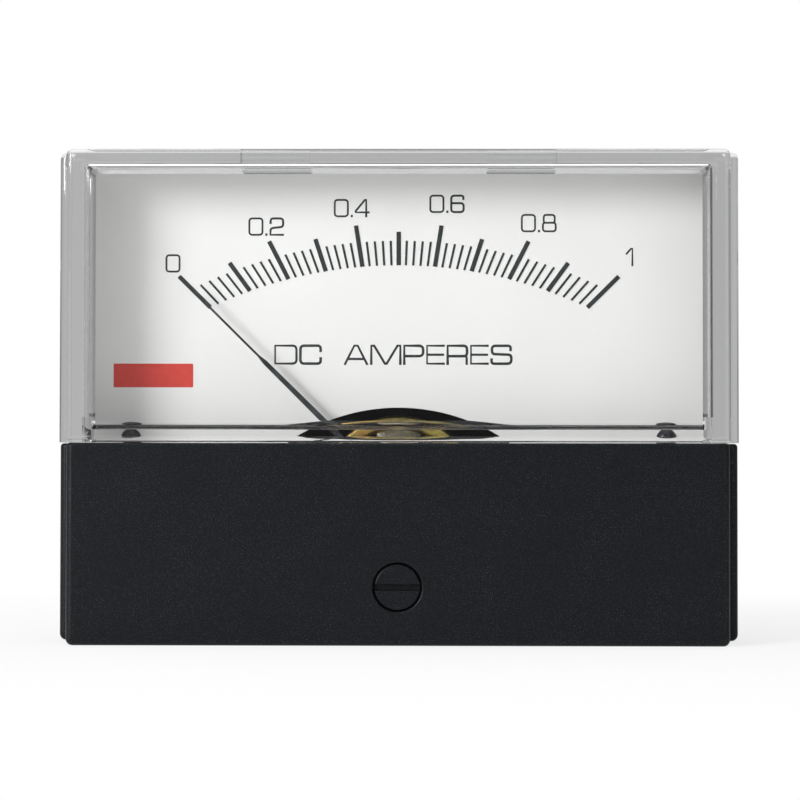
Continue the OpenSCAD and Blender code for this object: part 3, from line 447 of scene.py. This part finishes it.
def makeMask():
    m = mask
    piece = bezelSolid("lowerMask", cover["blockWide"] / 2 - m["inset"], cover["flangeWide"] / 2 - m["inset"],
                       bezelLow, seamTop, 0, cover["edge"], cover["edge"], m["top"])
    innerX = cover["blockWide"] / 2 - cover["sideWall"]
    innerFront = frontFace + cover["front"]
    combine(piece,
            [addBox("hollow", (-innerX, innerFront, bezelLow + m["bottomWall"]), (innerX, 1, seamTop + 1))])
    adds = [addRod("collar", m["collarWide"], innerFront - overlap, m["collarBack"], 0, zeroZ, 96)]
    cuts = [addRod("hole", m["hole"], frontFace - 1, innerFront + 1, 0, zeroZ, 96),
            addRod("bore", m["collarBore"], innerFront, m["collarBack"] + 1, 0, zeroZ, 96)]
    for side in (-1, 1):
        adds.append(addRod("boss", m["bossWide"], innerFront - overlap, m["bossBack"], side * m["bossAt"],
                           bezelLow + m["bossUp"], 48))
        cuts.append(addRod("bossHole", m["bossHole"], innerFront + m["bossSkin"], 1, side * m["bossAt"],
                           bezelLow + m["bossUp"], 32))
        wide = sorted((side * (innerX - m["pocketIn"]), side * (innerX + m["pocketOut"])))
        cuts.append(addBox("pocket", (wide[0], innerFront - overlap, m["pocketFrom"]),
                           (wide[1], innerFront + m["pocketDeep"], m["pocketFrom"] + m["pocketHigh"])))
    combine(piece, adds, "UNION")
    combine(piece, cuts)

    def rim(a, b):
        return near(a.y, frontFace) and near(b.y, frontFace) and all(
            math.hypot(p.x, p.z - zeroZ) < m["hole"] / 2 + 0.02 for p in (a, b))

    bevelWhere(piece, m["holeChamfer"], 3, rim)
    smooth(piece)
    return finishPiece(piece, "black_mask", "meter", "black_mask", "front_mask")


maskPiece = makeMask()
print("mask made,", len(maskPiece.data.polygons), "faces")


zero = {"wide": 5.4, "round": 0.2, "slotWide": 0.8, "slotDeep": 0.9, "slotEdge": 0.08, "flangeWide": 6.6,
        "flangeFrom": -11.95, "flangeDeep": 0.6, "pinWide": 1.0, "pinUp": 0.8, "pinEnd": -9.0}


def makeZeroScrew():
    s = zero
    piece = addRod("zeroScrew", s["wide"], frontFace, s["flangeFrom"] + overlap, 0, zeroZ, 96)
    bevelWhere(piece, s["round"], 4, lambda a, b: near(a.y, frontFace) and near(b.y, frontFace))
    slot = addBox("slot", (-s["wide"], frontFace - 1, zeroZ - s["slotWide"] / 2),
                  (s["wide"], frontFace + s["slotDeep"], zeroZ + s["slotWide"] / 2))
    combine(piece, [slot])
    bevelWhere(piece, s["slotEdge"], 2, lambda a, b: near(a.y, frontFace) and near(b.y, frontFace)
               and near(a.z, b.z) and near(abs(a.z - zeroZ), s["slotWide"] / 2))
    flange = addRod("flange", s["flangeWide"], s["flangeFrom"], s["flangeFrom"] + s["flangeDeep"], 0,
                    zeroZ, 96)
    pin = addRod("pin", s["pinWide"], s["flangeFrom"] + s["flangeDeep"] - overlap, s["pinEnd"], 0,
                 zeroZ + s["pinUp"], 32)
    combine(piece, [flange, pin], "UNION")
    smooth(piece)
    return finishPiece(piece, "black_mask", "zero_adjuster", "black_mask", "zero_screw")


makeZeroScrew()
print("zero screw made")


dialScrew = {"wide": 2.5, "high": 0.9, "shank": 1.4, "end": -1.0}


def makeDialScrew(side, node):
    s = dialScrew
    low, high = (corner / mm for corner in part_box(node))
    x, z = (low.x + high.x) / 2, (low.z + high.z) / 2
    seat = low.y + s["high"]
    ball = (s["high"] ** 2 + s["wide"] ** 2 / 4) / (2 * s["high"])
    objectMode()
    bpy.ops.object.select_all(action="DESELECT")
    bpy.ops.mesh.primitive_uv_sphere_add(segments=48, ring_count=32, radius=ball * mm,
                                         location=(x * mm, (low.y + ball) * mm, z * mm),
                                         rotation=(math.pi / 2, 0, 0))
    piece = settle(bpy.context.object, node + "Dome")
    bpy.ops.object.mode_set(mode="EDIT")
    bpy.ops.mesh.select_all(action="SELECT")
    bpy.ops.mesh.bisect(plane_co=(0, seat * mm, 0), plane_no=(0, 1, 0), use_fill=True, clear_outer=True)
    bpy.ops.object.mode_set(mode="OBJECT")
    combine(piece, [addRod("shank", s["shank"], seat - overlap, s["end"], x, z, 32)], "UNION")
    smooth(piece, 50)
    return finishPiece(piece, "black_oxide", "meter", "black_oxide", node)


for side, node in ((-1, "dial_screw_left"), (1, "dial_screw_right")):
    makeDialScrew(side, node)
print("dial screws made")


printing = {"stroke": 0.27, "captionStroke": 0.33, "thick": 0.02, "high": 2.28, "captionHigh": 2.52,
            "gap": 0.15, "arcSteps": 6}


def roundCorners(points, size, closed):  # a point's third value is its corner's radius
    done = []
    for i, p in enumerate(points):
        here, before, after = (Vector(points[k % len(points)][:2]) * size for k in (i, i - 1, i + 1))
        if len(p) < 3 or (not closed and i in (0, len(points) - 1)):
            done.append(here)
            continue
        a, b = before - here, after - here
        reach = min(p[2] * size / math.tan(a.angle(b) / 2), a.length * 0.5, b.length * 0.5)
        start, end = here + a.normalized() * reach, here + b.normalized() * reach
        for step in range(printing["arcSteps"] + 1):
            t = step / printing["arcSteps"]
            done.append(start * (1 - t) ** 2 + here * 2 * t * (1 - t) + end * t * t)
    return done


# Each glyph: its width, then its strokes on a grid one unit high; True closes a stroke
glyphs = {
    "0": (0.8, [([(0, 0, 0.2), (0.8, 0, 0.2), (0.8, 1, 0.2), (0, 1, 0.2)], True)]),
    "1": (0.38, [([(0, 0.66), (0.3, 1), (0.38, 1), (0.38, -0.06)], False)]),
    "2": (0.8, [([(0.02, 0.66), (0.02, 1, 0.2), (0.78, 1, 0.2), (0.78, 0.49, 0.18), (0.01, 0.4, 0.2),
                  (0.01, 0), (0.83, 0)], False)]),
    "4": (0.82, [([(0.64, -0.06), (0.64, 1), (0.56, 1), (0.0, 0.32), (0.0, 0.24), (0.84, 0.24)], False)]),
    "6": (0.75, [([(0.73, 0.74), (0.73, 1, 0.18), (0, 1, 0.2), (0, 0, 0.2), (0.75, 0, 0.2), (0.75, 0.54, 0.2),
                   (0.02, 0.54)], False)]),
    "8": (0.78, [([(0.05, 1, 0.17), (0.72, 1, 0.17), (0.72, 0.52, 0.14), (0.05, 0.52, 0.14)], True),
                 ([(0, 0, 0.18), (0.78, 0, 0.18), (0.78, 0.52, 0.15), (0, 0.52, 0.15)], True)]),
    ".": (0.06, [([(0.03, -0.06), (0.03, 0.09)], False)]),
    "D": (1.19, [([(0, 0), (1.19, 0, 0.24), (1.19, 1, 0.24), (0, 1)], True)]),
    "C": (1.13, [([(1.13, 0.64), (1.13, 1, 0.22), (0, 1, 0.22), (0, 0, 0.22), (1.13, 0, 0.22), (1.13, 0.36)],
                  False)]),
    "A": (1.27, [([(0, -0.07), (0.54, 1), (0.73, 1), (1.27, -0.07)], False),
                 ([(0.2, 0.26), (1.07, 0.26)], False)]),
    "M": (1.62, [([(0, -0.07), (0, 1), (0.16, 1), (0.76, 0), (0.86, 0), (1.46, 1), (1.62, 1), (1.62, -0.07)],
                  False)]),
    "P": (1.05, [([(0, -0.07), (0, 1), (1.05, 1, 0.24), (1.05, 0.42, 0.24), (0, 0.42)], False)]),
    "E": (0.93, [([(0.99, 0), (0, 0), (0, 1), (0.99, 1)], False), ([(0, 0.5), (0.95, 0.5)], False)]),
    "R": (1.08, [([(0, -0.07), (0, 1), (1.08, 1, 0.22), (1.08, 0.42, 0.2), (0, 0.42)], False),
                 ([(0.8, 0.42), (1.06, 0.42, 0.16), (1.06, -0.07)], False)]),
    "S": (1.1, [([(1.06, 0.7), (1.06, 1, 0.22), (0.02, 1, 0.2), (0.02, 0.54, 0.18), (1.1, 0.5, 0.2),
                  (1.1, 0, 0.22), (0, 0, 0.22), (0, 0.3)], False)]),
}
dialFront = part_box("dial_plate")[0].y / mm


def layPrint(name, words, stroke, high):  # words: text, left edge and foot in mm
    curve = bpy.data.curves.new(name, "CURVE")
    curve.dimensions = "3D"
    curve.bevel_depth = stroke / 2 * mm
    curve.bevel_resolution = 1
    curve.use_fill_caps = True
    size = high - stroke
    for text, left, foot in words:
        pen = left
        for letter in text:
            width, strokes = glyphs[letter]
            for points, closed in strokes:
                path = roundCorners(points, size, closed)
                spline = curve.splines.new("POLY")
                spline.points.add(len(path) - 1)
                for point, p in zip(spline.points, path):
                    point.co = ((pen + stroke / 2 + p.x) * mm, 0, (foot + stroke / 2 + p.y) * mm, 1)
                spline.use_cyclic_u = closed
            pen += width * size + stroke + printing["gap"]
    piece = bpy.data.objects.new(name, curve)
    bpy.context.scene.collection.objects.link(piece)
    only(piece)
    bpy.ops.object.convert(target="MESH")
    piece = bpy.context.object
    piece.scale.y = printing["thick"] * 2 / stroke
    piece.location.y = dialFront * mm
    settle(piece, name)
    return finishPiece(piece, "dial_ink", "meter", "dial_ink")


layPrint("numerals", [("0", -28.56, 17.38), ("0.2", -18.42, 21.89), ("0.4", -7.97, 24.16),
                      ("0.6", 3.72, 24.68), ("0.8", 14.91, 22.32), ("1", 27.63, 18.18)],
         printing["stroke"], printing["high"])
layPrint("caption", [("DC", -15.25, 6.1), ("AMPERES", -6.76, 6.1)], printing["captionStroke"],
         printing["captionHigh"])


def labelMaterial():
    material, wire = newMaterial("redLabel")
    worn = wire.noise(0.8, 3)
    tone = wire.blend(worn, (0.55, 0.04, 0.035, 1), (0.68, 0.07, 0.05, 1))
    surface(wire, {"Base Color": tone, "Roughness": 0.5, "Specular IOR Level": 0.3,
                   "Normal": wire.bump(worn, 0.002)})
    return material


materials["label_red"] = labelMaterial()
label = {"left": -34.85, "right": -25.1, "low": 3.35, "high": 6.25, "thick": 0.02, "round": 0.12}


def makeLabel():
    piece = addBox("redLabel", (label["left"], dialFront - label["thick"], label["low"]),
                   (label["right"], dialFront, label["high"]))
    bevelWhere(piece, label["round"], 3, lambda a, b: not near(a.y, b.y))
    return finishPiece(piece, "label_red", "meter", "dial_ink")


makeLabel()
print("print laid on the dial")


slotOf = {part["node"]: part["material_slot"] for part in frame["record"]["subparts"]}
softEdges = {"dial_plate": 0.06, "housing": 0.15, "yoke_ring": 0.08, "core_magnet": 0.08, "pointer": 0.03,
             "coil_winding": 0.18, "coil_former": 0.04, "balance_arms": 0.04, "tail_weight": 0.06,
             "front_bridge": 0.06, "rear_bridge": 0.06, "movement_plate": 0.1, "terminal_nuts": 0.06,
             "terminal_lock_nuts": 0.06, "terminal_washers": 0.06, "shunt": 0.05, "zero_lever": 0.05}


def dress(node, piece):
    material = materials[slotOf[node]]
    piece.data.materials.clear()
    piece.data.materials.append(material)
    if node == "scale_marks":
        return
    weld = piece.modifiers.new("weld", "WELD")
    weld.merge_threshold = 1e-7
    if node in softEdges:
        bevel = piece.modifiers.new("edges", "BEVEL")
        bevel.width = softEdges[node] * mm
        bevel.segments = 2
        bevel.limit_method = "ANGLE"
        bevel.angle_limit = math.radians(40)
    piece.data.shade_smooth()
    piece.modifiers.new("even", "WEIGHTED_NORMAL")


replaced = {"front_cover", "front_mask", "zero_screw", "dial_screw_left", "dial_screw_right"}
for node, piece in nodes.items():
    if node not in replaced:
        dress(node, piece)
print("frame dressed")


stageValues = {"floor": 3.0, "nearGlow": 0.75, "seenGlow": 0.4}


def stageMaterial():
    material, wire = newMaterial("paleFloor")
    diffuse = wire.add("BsdfDiffuse", None, {"Color": (0.9, 0.9, 0.9, 1)})
    glow = wire.add("Emission", None, {"Color": (1, 1, 1, 1), "Strength": 1.0})
    where = wire.place()
    far = wire.level(wire.maths("ABSOLUTE", wire.axis(where, "Y")), 0.02, 0.12, stageValues["nearGlow"], 1.0)
    camera = wire.add("LightPath", output="Is Camera Ray")
    through = wire.maths("MAXIMUM", wire.add("LightPath", output="Is Glossy Ray"),
                         wire.add("LightPath", output="Is Transmission Ray"))
    share = wire.maths("MAXIMUM", camera * far, through * stageValues["seenGlow"])
    mixed = wire.add("MixShader", None, {0: share, 1: diffuse, 2: glow})
    wire.add("OutputMaterial", None, {"Surface": mixed})
    return material


objectMode()
bpy.ops.object.select_all(action="DESELECT")
bpy.ops.mesh.primitive_plane_add(size=stageValues["floor"], location=(0, 0, bezelLow * mm - 0.00002))
floor = bpy.context.object
floor.name = "floor"
floor.data.materials.append(stageMaterial())

# The room is dim in front and to the right, so that the clear edges show greys; straight behind it is white
room = {"front": 0.1, "side": 0.08, "left": 0.3, "top": 0.5, "back": 0.2, "seen": 0.22}
world = bpy.data.worlds.new("studio")
bpy.context.scene.world = world
world.use_nodes = True
world.node_tree.nodes.clear()
sky = Wire(world.node_tree)
direction = sky.add("TexCoord", output="Generated")
ahead = sky.axis(direction, "Y")
glow = sky.level(ahead, -0.6, 0.1, room["front"], room["side"])
glow = glow + sky.level(ahead, 0.2, 0.9, 0.0, room["back"])
glow = glow + sky.level(sky.axis(direction, "X"), 0.1, -0.9, 0.0, room["left"])
glow = glow + sky.level(sky.axis(direction, "Z"), 0.2, 0.9, 0.0, room["top"])
dim = sky.add("Background", None, {"Color": (1, 1, 1, 1), "Strength": glow})
white = sky.add("Background", None, {"Color": (1, 1, 1, 1), "Strength": 1.0})
through = sky.maths("MAXIMUM", sky.add("LightPath", output="Is Glossy Ray"),
                    sky.add("LightPath", output="Is Transmission Ray"))
seen = sky.maths("MAXIMUM", sky.add("LightPath", output="Is Camera Ray"),
                 sky.level(ahead, 0.93, 0.99, 0.0, room["seen"]) * through)
sky.add("OutputWorld", None, {"Surface": sky.add("MixShader", None, {0: seen, 1: dim, 2: white})})


def addLamp(name, place, size, power, aim=(0, 0, 0.005)):
    lamp = bpy.data.lights.new(name, "AREA")
    lamp.shape = "RECTANGLE"
    lamp.size, lamp.size_y = size
    lamp.energy = power
    holder = bpy.data.objects.new(name, lamp)
    bpy.context.scene.collection.objects.link(holder)
    holder.location = place
    holder.rotation_euler = (Vector(aim) - Vector(place)).to_track_quat("-Z", "Y").to_euler()
    return holder


addLamp("keyLamp", (-0.55, -0.6, 0.26), (0.3, 0.3), 6.6)
addLamp("fillLamp", (0.5, -0.7, 0.2), (0.6, 0.6), 0.8)
addLamp("topLamp", (0.0, -0.1, 0.8), (0.5, 0.5), 1.2)

view = {"x": 4.15, "y": -310.0, "z": -5.66, "yaw": -0.0130, "pitch": 0.0245, "roll": 0.0012, "lens": 112.6}
camera = bpy.data.objects.new("camera", bpy.data.cameras.new("camera"))
bpy.context.scene.collection.objects.link(camera)
camera.data.lens = view["lens"]
camera.data.sensor_width = 36.0
camera.data.clip_start = 0.01
camera.matrix_world = (Matrix.Translation(Vector((view["x"], view["y"], view["z"])) * mm)
                       @ Matrix.Rotation(-view["yaw"], 4, "Z")
                       @ Matrix.Rotation(math.pi / 2 + view["pitch"], 4, "X")
                       @ Matrix.Rotation(view["roll"], 4, "Z"))
bpy.context.scene.camera = camera
bpy.context.scene.view_settings.view_transform = "Standard"
print("stage set")
